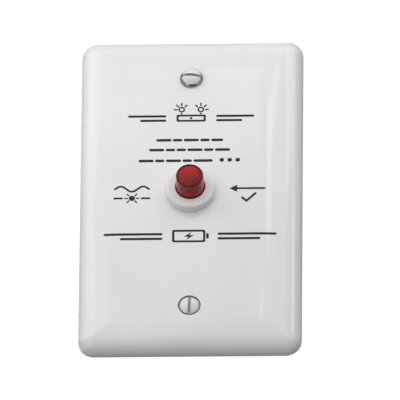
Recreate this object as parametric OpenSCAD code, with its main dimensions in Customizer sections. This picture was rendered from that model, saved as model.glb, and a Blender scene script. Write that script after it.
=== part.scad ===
// Single-gang wall plate with a lighted push-to-test button and its switch behind the plate.
// Modelled lying flat (x right, y up the wall, z out of the wall) and stood up by place().
// Origin: the plate's centre, on the plane of the wall. +Z is up and the front faces -Y.

/* [Wall plate] */
// Width of the plate
plate_w = 69.85; // [67:0.05:80]
// Height of the plate
plate_h = 114.3; // [112:0.1:125]
// Depth from the wall to the middle of the face
plate_d = 5.6; // [5.4:0.1:6.4]
// Radius of the outline's corners
corner_r = 5.2; // [4.8:0.1:6]
// Height of the straight rim
rim_h = 0.7; // [0.5:0.1:1.2]
// Width of the rolled edge
roll_w = 6.3; // [5.5:0.1:6.8]
// Rise of the face from the rolled edge to the flat middle
crown = 0.3; // [0.2:0.02:0.5]
// Distance from the outline to the flat middle
crown_w = 11.5; // [10:0.5:11.5]
// Thickness of the face
face_t = 2.2; // [2:0.1:2.4]
// Thickness of the rim
wall_t = 2.2; // [1.8:0.1:2.4]

/* [Plate screws] */
// Distance between the two box screws
screw_pitch = 83.3; // [83:0.05:83.6]
// Diameter of a screw head
head_dia = 6.0; // [5.8:0.1:6.2]
// Height of a head's dome above its edge
dome_h = 1.15; // [0.8:0.05:1.3]
// Diameter of the recess round a head
seat_dia = 7.1; // [6.9:0.1:7.4]
// Depth of the recess round a head
seat_depth = 1.0; // [0.8:0.1:1.2]
// Height of the loose top screw's head edge above the plate's face
top_lift = 1.35; // [-0.2:0.05:1.5]
// Height of the bottom screw's head edge above the plate's face, driven home
bottom_lift = -0.2; // [-0.2:0.05:1.5]
// Outer diameter of the thread
thread_dia = 3.5; // [3.4:0.05:3.5]
// Length of a screw from its head's edge to its tip
screw_len = 19.05; // [15:0.05:25]
// Turn of the top screw's slot from level
top_slot_turn = -4; // [-90:1:90]
// Turn of the bottom screw's slot from level
bottom_slot_turn = 87; // [-90:1:90]

/* [Bezel, washer and nut] */
// Diameter of the bezel nut at the plate
bezel_dia = 15.45; // [15.3:0.05:17]
// Diameter of the bezel nut at its top
bezel_top_dia = 15.35; // [14.4:0.05:15.4]
// Height of the bezel nut
bezel_h = 3.1; // [2.9:0.1:3.4]
// Hole in the bezel nut's top
bezel_hole_dia = 9.3; // [9.3:0.1:9.8]
// Thickness of the lock washer
washer_t = 0.6; // [0.5:0.1:0.7]
// Width across the hex nut's flats
nut_af = 14.3; // [14:0.1:16]
// Thickness of the hex nut
nut_t = 2.0; // [1.8:0.1:2.1]

/* [Switch body] */
// Outer diameter of the threaded barrel
barrel_dia = 11.9; // [11.8:0.05:11.95]
// Bore that the plunger runs in
bore_dia = 9.2; // [9.2:0.02:9.24]
// Outer diameter of the cup
cup_dia = 19.2; // [19:0.1:21]
// Depth of the cup
cup_depth = 13.5; // [13.3:0.1:15]
// Thickness of the base
base_t = 3.0; // [2.8:0.1:3.6]
// Distance of each ear's screw from the middle
ear_x = 12.2; // [12:0.1:14]

/* [Button] */
// Height of the cap above the bezel
cap_out = 6.5; // [6:0.1:7.5]
// Diameter of the cap at the bezel
cap_dia = 8.9; // [8.8:0.05:8.95]
// Diameter of the cap at its front
cap_front_dia = 8.5; // [8.2:0.1:8.7]
// Travel of the button
travel = 2.5; // [2:0.1:2.6]
// Wire diameter of the return spring
spring_wire = 0.45; // [0.35:0.05:0.5]
// Turns of the return spring
spring_turns = 5; // [4:0.5:5]

/* [Hidden] */
$fn = 64;

// heights above the wall, from the front to the back
bezel_top = plate_d + bezel_h;
cap_front = bezel_top + cap_out;
barrel_top = bezel_top - 0.8;
inner_z = plate_d - face_t;
nut_top = inner_z - washer_t;
shoulder_z = nut_top - nut_t - 1.3;
front_wall = 1.6;
cup_back = shoulder_z - cup_depth;
base_back = cup_back - base_t;
base_top = cup_back + 0.8;
lug_end = base_back - 8;
eye_z = base_back - 5.8;

// top of the cone that a head driven home rests on, at the recess's floor
cone_r = head_dia / 2 + 0.06 - (seat_depth - 0.2) * tan(41);

// switch body
cup_r = cup_dia / 2;
cup_in_r = cup_r - 1.4;
bore_r = bore_dia / 2;

// button, at rest
cap_skirt = plate_d - 0.1;
cap_wall = 0.7;
snout_r = cap_dia / 2 - cap_wall;
collar_r = bore_r - 0.05;
flange_top = shoulder_z - front_wall - 0.05;
flange_bot = flange_top - 1.0;
tube_r = 3.9;
tail_r = 3.15;
pad_top = flange_bot - travel - 0.35;
pad_t = 0.6;
tip_bot = pad_top - pad_t - 0.5;
ring_top = tip_bot - 0.05;
ring_t = 0.6;
ring_r = 6.2;
tail_bot = ring_top - ring_t - 0.85;
spring_r = 4.0;

// terminals
strip_x = 6.6;
strip_t = 0.6;
strip_w = 3.0;
lead_y = 1.27;
post_r = 2.3;
post_top = 5.0;
pin_y = 3.9;

module place() { rotate([90, 0, 0]) children(); }

// ---------- shared shapes ----------

// a quarter turn about a corner's centre
function quarter(cx, cy, r, a0, n) =
    [for (i = [0 : n]) [cx + r * cos(a0 + 90 * i / n), cy + r * sin(a0 + 90 * i / n)]];

// the plate's outline, d inside its edge, at height z
function ring_at(d, z) =
    let (x = plate_w / 2 - d, y = plate_h / 2 - d, r = max(corner_r - d, 0.4), n = 8)
    [for (p = concat(quarter(x - r, y - r, r, 0, n), quarter(r - x, y - r, r, 90, n),
                     quarter(r - x, r - y, r, 180, n), quarter(x - r, r - y, r, 270, n)))
        [p[0], p[1], z]];

// a closed skin over rings of equal length, from the lowest to the highest
module loft(rings) {
    n = len(rings[0]);
    m = len(rings);
    polyhedron(
        points = [for (r = rings) each r],
        faces = concat(
            [[for (i = [0 : n - 1]) i]],
            [for (k = [0 : m - 2]) for (i = [0 : n - 1])
                [k * n + i, (k + 1) * n + i, (k + 1) * n + (i + 1) % n, k * n + (i + 1) % n]],
            [[for (i = [n - 1 : -1 : 0]) (m - 1) * n + i]]),
        convexity = 6);
}

// a ring turned from its two radii
module collar(r_out, r_in, z0, z1) {
    translate([0, 0, z0]) difference() {
        cylinder(r = r_out, h = z1 - z0);
        translate([0, 0, -1]) cylinder(r = r_in, h = z1 - z0 + 2);
    }
}

// ---------- plate and its fasteners ----------

// rolled edge, stopped short of level so that the crown can go on from it
function edge_rings() =
    let (stop = 80, rise = (plate_d - rim_h - crown) / sin(stop),
         d1 = roll_w * (1 - cos(stop)))
    concat(
        [ring_at(0, 0), ring_at(0, rim_h)],
        [for (a = [16 : 16 : stop]) ring_at(roll_w * (1 - cos(a)), rim_h + rise * sin(a))],
        [for (s = [0.3, 0.65, 1])
            ring_at(d1 + (crown_w - d1) * s, plate_d - crown * (1 - s) * (1 - s))]);

function hollow_rings() =
    let (low = 0.4, top = plate_d - face_t)
    concat(
        [ring_at(wall_t, -1), ring_at(wall_t, low)],
        [for (a = [22.5 : 22.5 : 90])
            ring_at(wall_t + 0.8 * roll_w * (1 - cos(a)), low + (top - low) * sin(a))]);

module wall_plate() {
    color("white") place() difference() {
        union() {
            difference() {
                loft(edge_rings());
                loft(hollow_rings());
            }
            for (s = [-1, 1])
                translate([0, s * screw_pitch / 2, inner_z - 1.4]) cylinder(r = 4.6, h = 2.4);
        }
        // hole for the barrel
        translate([0, 0, -1]) cylinder(r = barrel_dia / 2 + 0.15, h = plate_d + 2);
        // countersunk screw holes
        for (s = [-1, 1]) translate([0, s * screw_pitch / 2, 0]) {
            translate([0, 0, -1]) cylinder(r = 1.95, h = plate_d + 2);
            translate([0, 0, plate_d - seat_depth]) cylinder(r = seat_dia / 2, h = seat_depth + 2);
            translate([0, 0, plate_d - seat_depth - 0.9])
                cylinder(r1 = cone_r - 0.9 * tan(41), r2 = cone_r, h = 0.9);
        }
    }
}

module plate_screw(slot_turn, lift) {
    head_r = head_dia / 2;
    ball_r = (head_r * head_r + dome_h * dome_h) / (2 * dome_h);
    edge_z = plate_d + lift;
    ball_z = edge_z + dome_h - ball_r;
    half = asin(head_r / ball_r);
    neck_r = 1.5;
    thread_r = thread_dia / 2;
    cone_h = 1.5;
    tip = edge_z - screw_len;
    run_out = edge_z - 5.6;
    difference() {
        rotate_extrude() polygon(concat(
            [[0, tip], [thread_r - 0.6, tip], [thread_r, tip + 0.8], [thread_r, run_out], [neck_r, run_out],
             [neck_r, edge_z - cone_h], [head_r - cone_h * tan(41), edge_z - cone_h]],
            [for (i = [8 : -1 : 1]) [ball_r * sin(half * i / 8), ball_z + ball_r * cos(half * i / 8)]],
            [[0, edge_z + dome_h]]));
        // screwdriver slot
        rotate([0, 0, slot_turn]) translate([-head_r - 1, -0.46, edge_z - 0.25]) cube([2 * head_r + 2, 0.92, 4]);
    }
}

module plate_screws() {
    color("white") place() {
        translate([0, screw_pitch / 2, 0]) plate_screw(top_slot_turn, top_lift);
        translate([0, -screw_pitch / 2, 0]) plate_screw(bottom_slot_turn, bottom_lift);
    }
}

module bezel_nut() {
    r0 = bezel_dia / 2;
    r1 = bezel_top_dia / 2;
    e = 1.1;
    color("white") place() translate([0, 0, plate_d]) rotate_extrude($fn = 96)
        polygon(concat(
            [[barrel_dia / 2 + 0.05, 0], [r0 - 0.2, 0], [r0, 0.2]],
            [for (a = [0 : 15 : 90]) [r1 - e + e * cos(a), bezel_h - e + e * sin(a)]],
            [[bezel_hole_dia / 2 + 0.25, bezel_h], [bezel_hole_dia / 2, bezel_h - 0.25],
             [bezel_hole_dia / 2, bezel_h - 0.7], [barrel_dia / 2 + 0.05, bezel_h - 0.7]]));
}

module lock_washer() {
    teeth = 10;
    color("silver") place() translate([0, 0, nut_top]) difference() {
        cylinder(r = 8.3, h = washer_t);
        translate([0, 0, -1]) cylinder(r = barrel_dia / 2 + 0.1, h = washer_t + 2);
        for (i = [0 : teeth - 1]) rotate([0, 0, 360 / teeth * i])
            translate([barrel_dia / 2 - 0.5, -0.7, -1]) cube([1.6, 1.4, washer_t + 2]);
    }
}

module hex_nut() {
    corner = nut_af / 2 / cos(30);
    color("silver") place() translate([0, 0, nut_top - nut_t]) difference() {
        intersection() {
            cylinder(r = corner, h = nut_t, $fn = 6);
            rotate_extrude() polygon([[0, 0], [nut_af / 2 - 0.1, 0], [corner + 0.3, 0.75],
                                      [corner + 0.3, nut_t], [0, nut_t]]);
        }
        translate([0, 0, -1]) cylinder(r = barrel_dia / 2 + 0.05, h = nut_t + 2);
    }
}

// ---------- switch body ----------

module ears_2d(r) {
    circle(r = r);
    square([2 * ear_x, 4.6], center = true);
    for (s = [-1, 1]) translate([s * ear_x, 0]) circle(r = 2.6);
}

module switch_housing() {
    color("dimgray") place() difference() {
        union() {
            translate([0, 0, shoulder_z - 0.5]) cylinder(r = barrel_dia / 2, h = barrel_top - shoulder_z + 0.5);
            translate([0, 0, cup_back]) cylinder(r = cup_r, h = cup_depth - 0.5);
            translate([0, 0, shoulder_z - 0.5]) cylinder(r1 = cup_r, r2 = cup_r - 0.5, h = 0.5);
            translate([0, 0, cup_back]) linear_extrude(2.6) ears_2d(cup_r);
        }
        translate([0, 0, cup_back - 1]) cylinder(r = bore_r, h = barrel_top - cup_back + 2);
        translate([0, 0, cup_back - 1]) cylinder(r = cup_in_r, h = shoulder_z - front_wall - cup_back + 1);
        for (s = [-1, 1]) translate([s * ear_x, 0, cup_back - 1]) cylinder(r = 1.05, h = 5);
    }
}

module switch_base() {
    color("saddlebrown") place() difference() {
        union() {
            translate([0, 0, base_back]) linear_extrude(base_t) ears_2d(cup_r);
            translate([0, 0, cup_back - 0.5]) cylinder(r = cup_in_r - 0.1, h = base_top - cup_back + 0.5);
        }
        translate([0, 0, base_back - 3]) cylinder(r = post_r + 0.05, h = base_top - base_back + 4);
        for (s = [-1, 1]) {
            translate([s * ear_x, 0, base_back - 1]) cylinder(r = 1.2, h = base_t + 2);
            translate([s * (strip_x + strip_t / 2), 0, 0])
                translate([-strip_t / 2 - 0.05, -strip_w / 2 - 0.05, base_back - 1])
                    cube([strip_t + 0.1, strip_w + 0.1, base_top - base_back + 2]);
            translate([0, s * pin_y, base_back - 1]) cylinder(r = 0.65, h = 3.1);
        }
    }
}

module base_screws() {
    color("silver") place() for (s = [-1, 1]) translate([s * ear_x, 0, 0]) difference() {
        union() {
            translate([0, 0, base_back - 0.7]) cylinder(r = 1.9, h = 0.7);
            translate([0, 0, base_back - 1.2]) cylinder(r1 = 1.4, r2 = 1.9, h = 0.5);
            translate([0, 0, base_back - 0.3]) cylinder(r = 1.0, h = base_t + 2.5);
        }
        translate([-0.25, -3, base_back - 2]) cube([0.5, 6, 1.35]);
    }
}

// ---------- button ----------

module lens_cap() {
    r0 = cap_dia / 2;
    r1 = cap_front_dia / 2;
    e = 0.45;
    color("firebrick") place() rotate_extrude($fn = 96) polygon(concat(
        [[snout_r, cap_skirt], [r0, cap_skirt], [r0, bezel_top]],
        [for (a = [0 : 15 : 90]) [r1 - e + e * cos(a), cap_front - e + e * sin(a)]],
        [[0, cap_front], [0, cap_front - 0.9], [snout_r - 0.07, cap_front - 0.9], [snout_r, plate_d + 3.4]]));
}

module plunger() {
    bore = post_r + 0.5;
    color("gainsboro") place() rotate_extrude($fn = 96) polygon([
        [bore, tail_bot], [tail_r, tail_bot], [tail_r, ring_top], [tube_r, ring_top],
        [tube_r, flange_bot], [6.0, flange_bot], [6.0, flange_top], [collar_r, flange_top],
        [collar_r, cap_skirt - 0.3], [collar_r - 0.2, cap_skirt], [snout_r - 0.02, cap_skirt],
        [snout_r - 0.02, plate_d + 3.2], [snout_r - 0.2, plate_d + 3.4], [bore, plate_d + 3.4]]);
}

module contact_bridge() {
    color("goldenrod") place() collar(ring_r, tail_r + 0.05, ring_top - ring_t, ring_top);
}

// coil wound on the z axis, its two end turns closed
module return_spring() {
    z0 = base_top + 0.02 + spring_wire / 2;
    z1 = ring_top - ring_t - 0.05 - spring_wire / 2;
    per = 24;
    count = round(spring_turns * per);
    sides = 8;
    flat_turns = 0.9;
    // share of the rise done after a share t of the turns
    function rise(t) = let (u = (t * spring_turns - flat_turns) / (spring_turns - 2 * flat_turns))
        min(1, max(0, u));
    function lead(t) = let (dead = spring_wire * 1.02 * flat_turns)
        t * spring_turns < flat_turns ? spring_wire * 1.02 * t * spring_turns
        : t * spring_turns > spring_turns - flat_turns
            ? z1 - z0 - spring_wire * 1.02 * (spring_turns - t * spring_turns)
            : dead + (z1 - z0 - 2 * dead) * rise(t);
    color("silver") place() loft_wire(
        [for (i = [0 : count]) let (t = i / count, a = 360 * spring_turns * t)
            [for (j = [sides - 1 : -1 : 0]) let (b = 360 * j / sides,
                  r = spring_r + spring_wire / 2 * cos(b))
                [r * cos(a), r * sin(a), z0 + lead(t) + spring_wire / 2 * sin(b)]]]);
}

// a closed skin along rings of a wire
module loft_wire(rings) {
    n = len(rings[0]);
    m = len(rings);
    polyhedron(
        points = [for (r = rings) each r],
        faces = concat(
            [[for (i = [0 : n - 1]) i]],
            [for (k = [0 : m - 2]) for (i = [0 : n - 1])
                [k * n + i, (k + 1) * n + i, (k + 1) * n + (i + 1) % n, k * n + (i + 1) % n]],
            [[for (i = [n - 1 : -1 : 0]) (m - 1) * n + i]]),
        convexity = 10);
}

// ---------- contacts and lamp ----------

// strip up through the base, with its pad over the moving ring and a lug behind
module contact_strip() {
    w = strip_w / 2;
    translate([strip_x, 0, 0]) difference() {
        union() {
            rotate([90, 0, 90]) linear_extrude(strip_t)
                polygon([[-w, pad_top], [-w, lug_end + 1], [-w + 0.8, lug_end], [w - 0.8, lug_end],
                         [w, lug_end + 1], [w, pad_top]]);
            translate([4.3 - strip_x, -w, pad_top - pad_t]) cube([strip_x - 4.3 + 0.1, strip_w, pad_t]);
        }
        translate([-1, 0, eye_z]) rotate([0, 90, 0]) cylinder(r = 0.8, h = 3);
    }
}

module line_terminal() { color("goldenrod") place() contact_strip(); }

module load_terminal() { color("goldenrod") place() rotate([0, 0, 180]) contact_strip(); }

module contact_tips() {
    color("lightgray") place() for (s = [-1, 1])
        translate([s * 5.2, 0, tip_bot]) {
            translate([0, 0, 0.2]) cylinder(r = 0.9, h = 0.3);
            cylinder(r1 = 0.65, r2 = 0.9, h = 0.2);
        }
}

module lamp_post() {
    color("whitesmoke") place() difference() {
        union() {
            translate([0, 0, base_back]) cylinder(r = post_r, h = post_top - base_back);
            translate([0, 0, base_top]) cylinder(r = 3.2, h = 0.6);
        }
        for (s = [-1, 1]) translate([0, s * lead_y, base_back - 1]) cylinder(r = 0.42, h = post_top - base_back + 2);
    }
}

module led_lamp() {
    color("crimson") place() translate([0, 0, post_top]) {
        difference() {
            cylinder(r = 1.95, h = 1.0);
            translate([1.6, -3, -1]) cube([2, 6, 3]);
        }
        translate([0, 0, 0.9]) cylinder(r = 1.5, h = 2.9);
        translate([0, 0, 3.8]) intersection() {
            sphere(r = 1.5);
            translate([-2, -2, -0.1]) cube([4, 4, 3]);
        }
    }
}

module led_leads() {
    color("silver") place() for (s = [-1, 1])
        translate([-0.25, s * lead_y - 0.25, base_back - 1.3]) cube([0.5, 0.5, post_top - base_back + 1.3]);
}

// foot on the back of the base, with a lug bent back from it
module lamp_lug() {
    difference() {
        union() {
            translate([-1.3, 0.6, base_back - 0.5]) cube([2.6, 5.9, 0.5]);
            translate([0, 6.5, 0]) rotate([90, 0, 0]) linear_extrude(0.5)
                polygon([[-1.3, base_back], [-1.3, lug_end + 1], [-0.7, lug_end], [0.7, lug_end],
                         [1.3, lug_end + 1], [1.3, base_back]]);
        }
        translate([0, lead_y, base_back - 1]) cylinder(r = 0.42, h = 2);
        translate([0, pin_y, base_back - 1]) cylinder(r = 0.65, h = 2);
        translate([0, 8, eye_z]) rotate([90, 0, 0]) cylinder(r = 0.8, h = 3);
    }
}

module anode_terminal() { color("gold") place() lamp_lug(); }

module cathode_terminal() { color("gold") place() rotate([0, 0, 180]) lamp_lug(); }

module terminal_pins() {
    color("silver") place() for (s = [-1, 1]) translate([0, s * pin_y, base_back - 0.5]) {
        translate([0, 0, -0.35]) cylinder(r1 = 0.8, r2 = 1.1, h = 0.35);
        cylinder(r = 0.6, h = 2.4);
    }
}

wall_plate();
plate_screws();
bezel_nut();
lock_washer();
hex_nut();
switch_housing();
switch_base();
base_screws();
lens_cap();
plunger();
contact_bridge();
return_spring();
line_terminal();
load_terminal();
contact_tips();
lamp_post();
led_lamp();
led_leads();
anode_terminal();
cathode_terminal();
terminal_pins();
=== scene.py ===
import math

import bmesh
import bpy
from mathutils import Matrix, Vector
from mathutils.geometry import tessellate_polygon


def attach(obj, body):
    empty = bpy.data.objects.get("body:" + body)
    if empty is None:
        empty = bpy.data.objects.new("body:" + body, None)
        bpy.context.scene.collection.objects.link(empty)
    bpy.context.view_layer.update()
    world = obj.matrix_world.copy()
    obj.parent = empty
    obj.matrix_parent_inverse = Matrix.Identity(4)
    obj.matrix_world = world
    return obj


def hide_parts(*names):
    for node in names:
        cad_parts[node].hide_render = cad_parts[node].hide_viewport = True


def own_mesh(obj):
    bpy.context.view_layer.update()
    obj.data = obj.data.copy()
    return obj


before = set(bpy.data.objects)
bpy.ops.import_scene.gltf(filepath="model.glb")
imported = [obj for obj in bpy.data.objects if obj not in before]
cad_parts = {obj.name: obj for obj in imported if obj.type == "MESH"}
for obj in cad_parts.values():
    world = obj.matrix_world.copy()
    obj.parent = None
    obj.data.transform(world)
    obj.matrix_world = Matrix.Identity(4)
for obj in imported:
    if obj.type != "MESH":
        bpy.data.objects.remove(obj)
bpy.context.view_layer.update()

# Sizes below are in millimetres in the plate's own directions: x right, y up the wall,
# z out of the wall. at() turns such a point into the row frame, in metres.
MM = 0.001
scene = bpy.context.scene


def at(x, y, z):
    return (x * MM, -z * MM, y * MM)


def lerp(a, b, t):
    return a + (b - a) * t


def circle(r, z, n, cx=0.0, cy=0.0, turn=0.0):
    return [(cx + r * math.cos(turn + 2 * math.pi * i / n), cy + r * math.sin(turn + 2 * math.pi * i / n), z)
            for i in range(n)]


# ---------------------------------------------------------------- mesh building

class Skin:
    """Points and faces of one piece."""

    def __init__(self):
        self.v = []
        self.f = []

    def loop(self, pts):
        k = len(self.v)
        self.v.extend(pts)
        return list(range(k, k + len(pts)))

    def bridge(self, a, b, closed=True):
        n = len(a)
        for i in range(n if closed else n - 1):
            j = (i + 1) % n
            self.f.append((a[i], a[j], b[j], b[i]))

    def tube(self, loops):
        ids = [self.loop(l) for l in loops]
        for a, b in zip(ids, ids[1:]):
            self.bridge(a, b)
        return ids

    def ring(self, loops):
        ids = self.tube(loops)
        self.bridge(ids[-1], ids[0])
        return ids

    def cap(self, outer, holes=(), axes=(0, 1)):
        loops = [outer, *holes]
        flat = [i for l in loops for i in l]
        polys = [[Vector((self.v[i][axes[0]], self.v[i][axes[1]], 0)) for i in l] for l in loops]
        for t in tessellate_polygon(polys):
            self.f.append(tuple(flat[i] for i in t))

    def pole(self, loop, point):
        k = self.loop([point])[0]
        for i in range(len(loop)):
            self.f.append((loop[i], loop[(i + 1) % len(loop)], k))

    def lathe(self, profile, n=96, cx=0.0, cy=0.0, closed=False):
        """Turns (radius, z) points about the z line through cx, cy."""
        rings = []
        for r, z in profile:
            rings.append(self.loop([(cx, cy, z)]) if r < 1e-6 else self.loop(circle(r, z, n, cx, cy)))
        pairs = list(zip(rings, rings[1:])) + ([(rings[-1], rings[0])] if closed else [])
        for a, b in pairs:
            if len(a) == 1 and len(b) == 1:
                continue
            if len(a) == 1 or len(b) == 1:
                one, many = (a, b) if len(a) == 1 else (b, a)
                for i in range(n):
                    self.f.append((many[i], many[(i + 1) % n], one[0]))
            else:
                self.bridge(a, b)
        return rings


def arc(cx, cz, r, a0, a1, n):
    """Points of a fillet in a (radius, z) profile, angles in degrees."""
    return [(cx + r * math.cos(math.radians(lerp(a0, a1, i / n))), cz + r * math.sin(math.radians(lerp(a0, a1, i / n))))
            for i in range(n + 1)]


def settle(mesh, sharp):
    """Welds, turns the normals out, and shades smoothly up to the angle sharp."""
    bm = bmesh.new()
    bm.from_mesh(mesh)
    bmesh.ops.remove_doubles(bm, verts=bm.verts, dist=3e-7)
    bmesh.ops.recalc_face_normals(bm, faces=bm.faces)
    for f in bm.faces:
        f.smooth = True
    for e in bm.edges:
        e.smooth = len(e.link_faces) == 2 and e.calc_face_angle(0.0) < math.radians(sharp)
    bm.to_mesh(mesh)
    bm.free()


def solid(name, skin, sharp=38.0):
    mesh = bpy.data.meshes.new(name)
    mesh.from_pydata([at(*p) for p in skin.v], [], skin.f)
    settle(mesh, sharp)
    ob = bpy.data.objects.new(name, mesh)
    scene.collection.objects.link(ob)
    return ob


def carve(ob, tools, operation="DIFFERENCE", sharp=38.0):
    for t in tools:
        m = ob.modifiers.new("cut", "BOOLEAN")
        m.operation = operation
        m.solver = "EXACT"
        m.object = t
    bpy.context.view_layer.update()
    deps = bpy.context.evaluated_depsgraph_get()
    mesh = bpy.data.meshes.new_from_object(ob.evaluated_get(deps))
    ob.modifiers.clear()
    old, ob.data = ob.data, mesh
    mesh.name = ob.name
    bpy.data.meshes.remove(old)
    for t in tools:
        old = t.data
        bpy.data.objects.remove(t)
        bpy.data.meshes.remove(old)
    settle(mesh, sharp)
    return ob


def soften(ob, width, segments=2, angle=35.0):
    """Rounds the edges that are left sharp, by width millimetres."""
    m = ob.modifiers.new("edge", "BEVEL")
    m.width = width * MM
    m.segments = segments
    m.limit_method = "ANGLE"
    m.angle_limit = math.radians(angle)
    m.use_clamp_overlap = True
    m.harden_normals = False
    return ob


def fit(ob, mats, body, nodes=()):
    ob.data.materials.clear()
    for m in mats if isinstance(mats, (list, tuple)) else [mats]:
        ob.data.materials.append(m)
    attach(ob, body)
    if nodes:
        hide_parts(*nodes)
    return ob


def block(x0, x1, y0, y1, z0, z1, turn=0.0, cx=0.0, cy=0.0):
    """A cutting tool: a box turned about the z line through cx, cy."""
    c, s = math.cos(turn), math.sin(turn)
    k = Skin()
    pts = [(x0, y0), (x1, y0), (x1, y1), (x0, y1)]
    lo = k.loop([(cx + x * c - y * s, cy + x * s + y * c, z0) for x, y in pts])
    hi = k.loop([(cx + x * c - y * s, cy + x * s + y * c, z1) for x, y in pts])
    k.bridge(lo, hi)
    k.f.append(tuple(lo))
    k.f.append(tuple(hi))
    return solid("tool", k)


def drill(r, p0, p1, n=48):
    """A cutting tool: a round bar from p0 to p1."""
    a, b = Vector(p0), Vector(p1)
    d = (b - a).normalized()
    u = d.orthogonal().normalized()
    w = d.cross(u)
    k = Skin()
    loops = []
    for p in (a, b):
        loops.append(k.loop([tuple(p + u * (r * math.cos(2 * math.pi * i / n)) + w * (r * math.sin(2 * math.pi * i / n)))
                             for i in range(n)]))
    k.bridge(*loops)
    k.f.append(tuple(loops[0]))
    k.f.append(tuple(loops[1]))
    return solid("tool", k)


# ---------------------------------------------------------------- materials

def nodes_of(name):
    m = bpy.data.materials.new(name)
    m.use_nodes = True
    nt = m.node_tree
    return m, nt, nt.nodes["Principled BSDF"]


def place(nt, stretch=(1, 1, 1)):
    tc = nt.nodes.new("ShaderNodeTexCoord")
    mp = nt.nodes.new("ShaderNodeMapping")
    mp.inputs["Scale"].default_value = stretch
    nt.links.new(tc.outputs["Object"], mp.inputs["Vector"])
    return mp.outputs["Vector"]


def noise(nt, vec, scale, detail=3.0, rough=0.5):
    n = nt.nodes.new("ShaderNodeTexNoise")
    n.inputs["Scale"].default_value = scale
    n.inputs["Detail"].default_value = detail
    n.inputs["Roughness"].default_value = rough
    nt.links.new(vec, n.inputs["Vector"])
    return n.outputs["Fac"]


def ramp(nt, fac, stops):
    r = nt.nodes.new("ShaderNodeValToRGB")
    while len(r.color_ramp.elements) < len(stops):
        r.color_ramp.elements.new(0.5)
    for e, (pos, col) in zip(r.color_ramp.elements, stops):
        e.position = pos
        e.color = (*col, 1.0)
    nt.links.new(fac, r.inputs["Fac"])
    return r.outputs["Color"]


def spread(nt, fac, lo, hi, f0=0.3, f1=0.7):
    m = nt.nodes.new("ShaderNodeMapRange")
    m.inputs["From Min"].default_value = f0
    m.inputs["From Max"].default_value = f1
    m.inputs["To Min"].default_value = lo
    m.inputs["To Max"].default_value = hi
    nt.links.new(fac, m.inputs["Value"])
    return m.outputs["Result"]


def bump(nt, shader, height, strength, distance):
    b = nt.nodes.new("ShaderNodeBump")
    b.inputs["Strength"].default_value = strength
    b.inputs["Distance"].default_value = distance
    nt.links.new(height, b.inputs["Height"])
    nt.links.new(b.outputs["Normal"], shader.inputs["Normal"])


def plastic(name, lo, hi, rough, patch=90.0, grain=900.0, depth=0.00001, strength=0.25, gloss=0.5):
    """Moulded plastic: slow shifts of tone, uneven gloss and a fine surface grain."""
    m, nt, b = nodes_of(name)
    vec = place(nt)
    nt.links.new(ramp(nt, noise(nt, vec, patch), [(0.3, lo), (0.7, hi)]), b.inputs["Base Color"])
    nt.links.new(spread(nt, noise(nt, vec, patch * 2.3, 4.0), *rough), b.inputs["Roughness"])
    bump(nt, b, noise(nt, vec, grain, 2.0), strength, depth)
    b.inputs["IOR"].default_value = 1.5
    b.inputs["Specular IOR Level"].default_value = gloss
    return m


def metal(name, lo, hi, rough, stretch=(1, 1, 1), patch=160.0, grain=1400.0, strength=0.2, depth=0.000012):
    """Plated or rolled metal: stained tone, drawn grain and uneven polish."""
    m, nt, b = nodes_of(name)
    vec = place(nt)
    drawn = place(nt, stretch)
    nt.links.new(ramp(nt, noise(nt, vec, patch, 5.0, 0.6), [(0.28, lo), (0.72, hi)]), b.inputs["Base Color"])
    nt.links.new(spread(nt, noise(nt, drawn, grain * 0.6, 4.0), *rough), b.inputs["Roughness"])
    bump(nt, b, noise(nt, drawn, grain, 3.0), strength, depth)
    b.inputs["Metallic"].default_value = 1.0
    return m


plate_white = plastic("plate_white", (0.790, 0.790, 0.782), (0.812, 0.812, 0.806), (0.05, 0.075), patch=45.0,
                      grain=700.0, strength=0.02)
bezel_white = plastic("bezel_white", (0.800, 0.800, 0.792), (0.826, 0.826, 0.820), (0.24, 0.32), patch=160.0)
enamel = plastic("screw_enamel", (0.74, 0.74, 0.73), (0.79, 0.79, 0.785), (0.14, 0.24), patch=420.0, grain=1100.0,
                 strength=0.35)
# the screw slots' grey: worn paint showing bare steel, and painted shade darkening the inside of the slot
slot_wear_and_shade = plastic("slot_wear_and_shade", (0.42, 0.42, 0.41), (0.58, 0.58, 0.57), (0.40, 0.60), patch=900.0, grain=2000.0)
# painted shade: a darker grey for the faces inside the plate's screw recesses, standing in for the shadow in the gap
# round the heads
recess_painted_shade = plastic("recess_painted_shade", (0.40, 0.40, 0.39), (0.56, 0.56, 0.55), (0.50, 0.65), patch=600.0, grain=2000.0)
ink = plastic("legend_ink", (0.014, 0.014, 0.015), (0.030, 0.030, 0.031), (0.40, 0.55), patch=700.0, grain=2500.0,
              gloss=0.25)
housing_black = plastic("housing_black", (0.016, 0.016, 0.017), (0.032, 0.032, 0.033), (0.38, 0.52), patch=150.0,
                        grain=2600.0, strength=0.5)
nylon = plastic("nylon_white", (0.66, 0.65, 0.60), (0.76, 0.75, 0.71), (0.35, 0.48), patch=200.0)
zinc = metal("zinc_steel", (0.46, 0.47, 0.48), (0.66, 0.66, 0.65), (0.24, 0.42), patch=260.0)
screw_steel = metal("screw_steel", (0.50, 0.49, 0.47), (0.68, 0.67, 0.65), (0.22, 0.36), patch=300.0)
brass = metal("contact_brass", (0.58, 0.40, 0.16), (0.78, 0.58, 0.27), (0.22, 0.40), stretch=(1, 0.12, 1), patch=220.0)
tinned = metal("tinned_brass", (0.56, 0.53, 0.46), (0.76, 0.73, 0.66), (0.20, 0.42), stretch=(1, 0.12, 1), patch=240.0)
silver = metal("contact_silver", (0.70, 0.69, 0.66), (0.86, 0.85, 0.82), (0.18, 0.30))
spring_steel = metal("spring_steel", (0.42, 0.42, 0.43), (0.60, 0.60, 0.60), (0.20, 0.34), patch=500.0)
wire = metal("tinned_wire", (0.60, 0.60, 0.60), (0.74, 0.74, 0.73), (0.25, 0.40), patch=500.0)


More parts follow.
